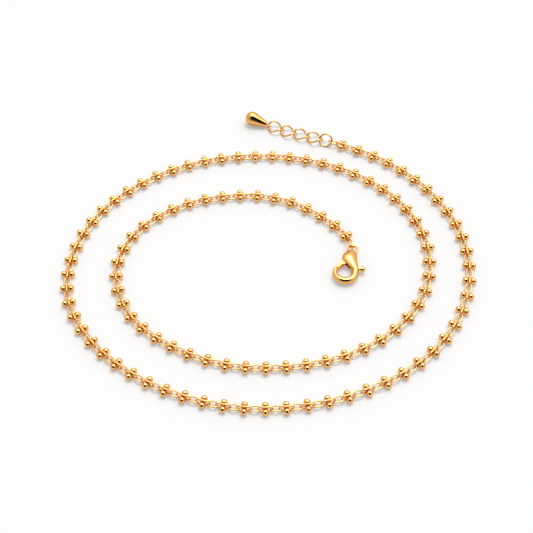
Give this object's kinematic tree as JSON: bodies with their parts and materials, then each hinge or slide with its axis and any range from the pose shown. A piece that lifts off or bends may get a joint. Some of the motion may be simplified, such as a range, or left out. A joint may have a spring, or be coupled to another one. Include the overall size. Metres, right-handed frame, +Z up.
{
  "type": "ball chain necklace",
  "caption": "Gold ball chain necklace with a lobster clasp, a curb-link extender and a drop, lying in an open spiral.",
  "frame": {"origin": "middle of the necklace's outline as it lies, on the surface that it rests on", "axes": "+Z up from the surface, +X along the longest extent of the spiral, +Y away from the viewer of the picture"},
  "size_m": [0.0927, 0.0876, 0.0033],
  "materials": {
    "gold_balls": "mirror-polished yellow gold plating, with solder in the grooves beside the balls",
    "gold_wire": "polished yellow gold plating on round wire",
    "gold_clasp": "polished yellow gold plating, smooth and softly rounded"
  },
  "bodies": {
    "necklace": {"ball_links": "gold_balls", "flat_links": "gold_wire", "clasp_link": "gold_wire", "clasp_body": "gold_clasp", "jump_ring": "gold_wire", "curb_link_1": "gold_wire", "curb_link_2": "gold_wire", "curb_link_3": "gold_wire", "curb_link_4": "gold_wire", "drop": "gold_clasp"},
    "lever": {"clasp_lever": "gold_clasp"}
  },
  "joints": [
    {"name": "lever_hinge", "type": "hinge", "parent": "necklace", "child": "lever", "pos_m": [0.01752, -0.00257, 0.00115], "axis": [0, 0, 1], "range_deg": [0, 25], "stiffness_Nm_per_rad": 0.0004, "springref_deg": -11.46}
  ]
}
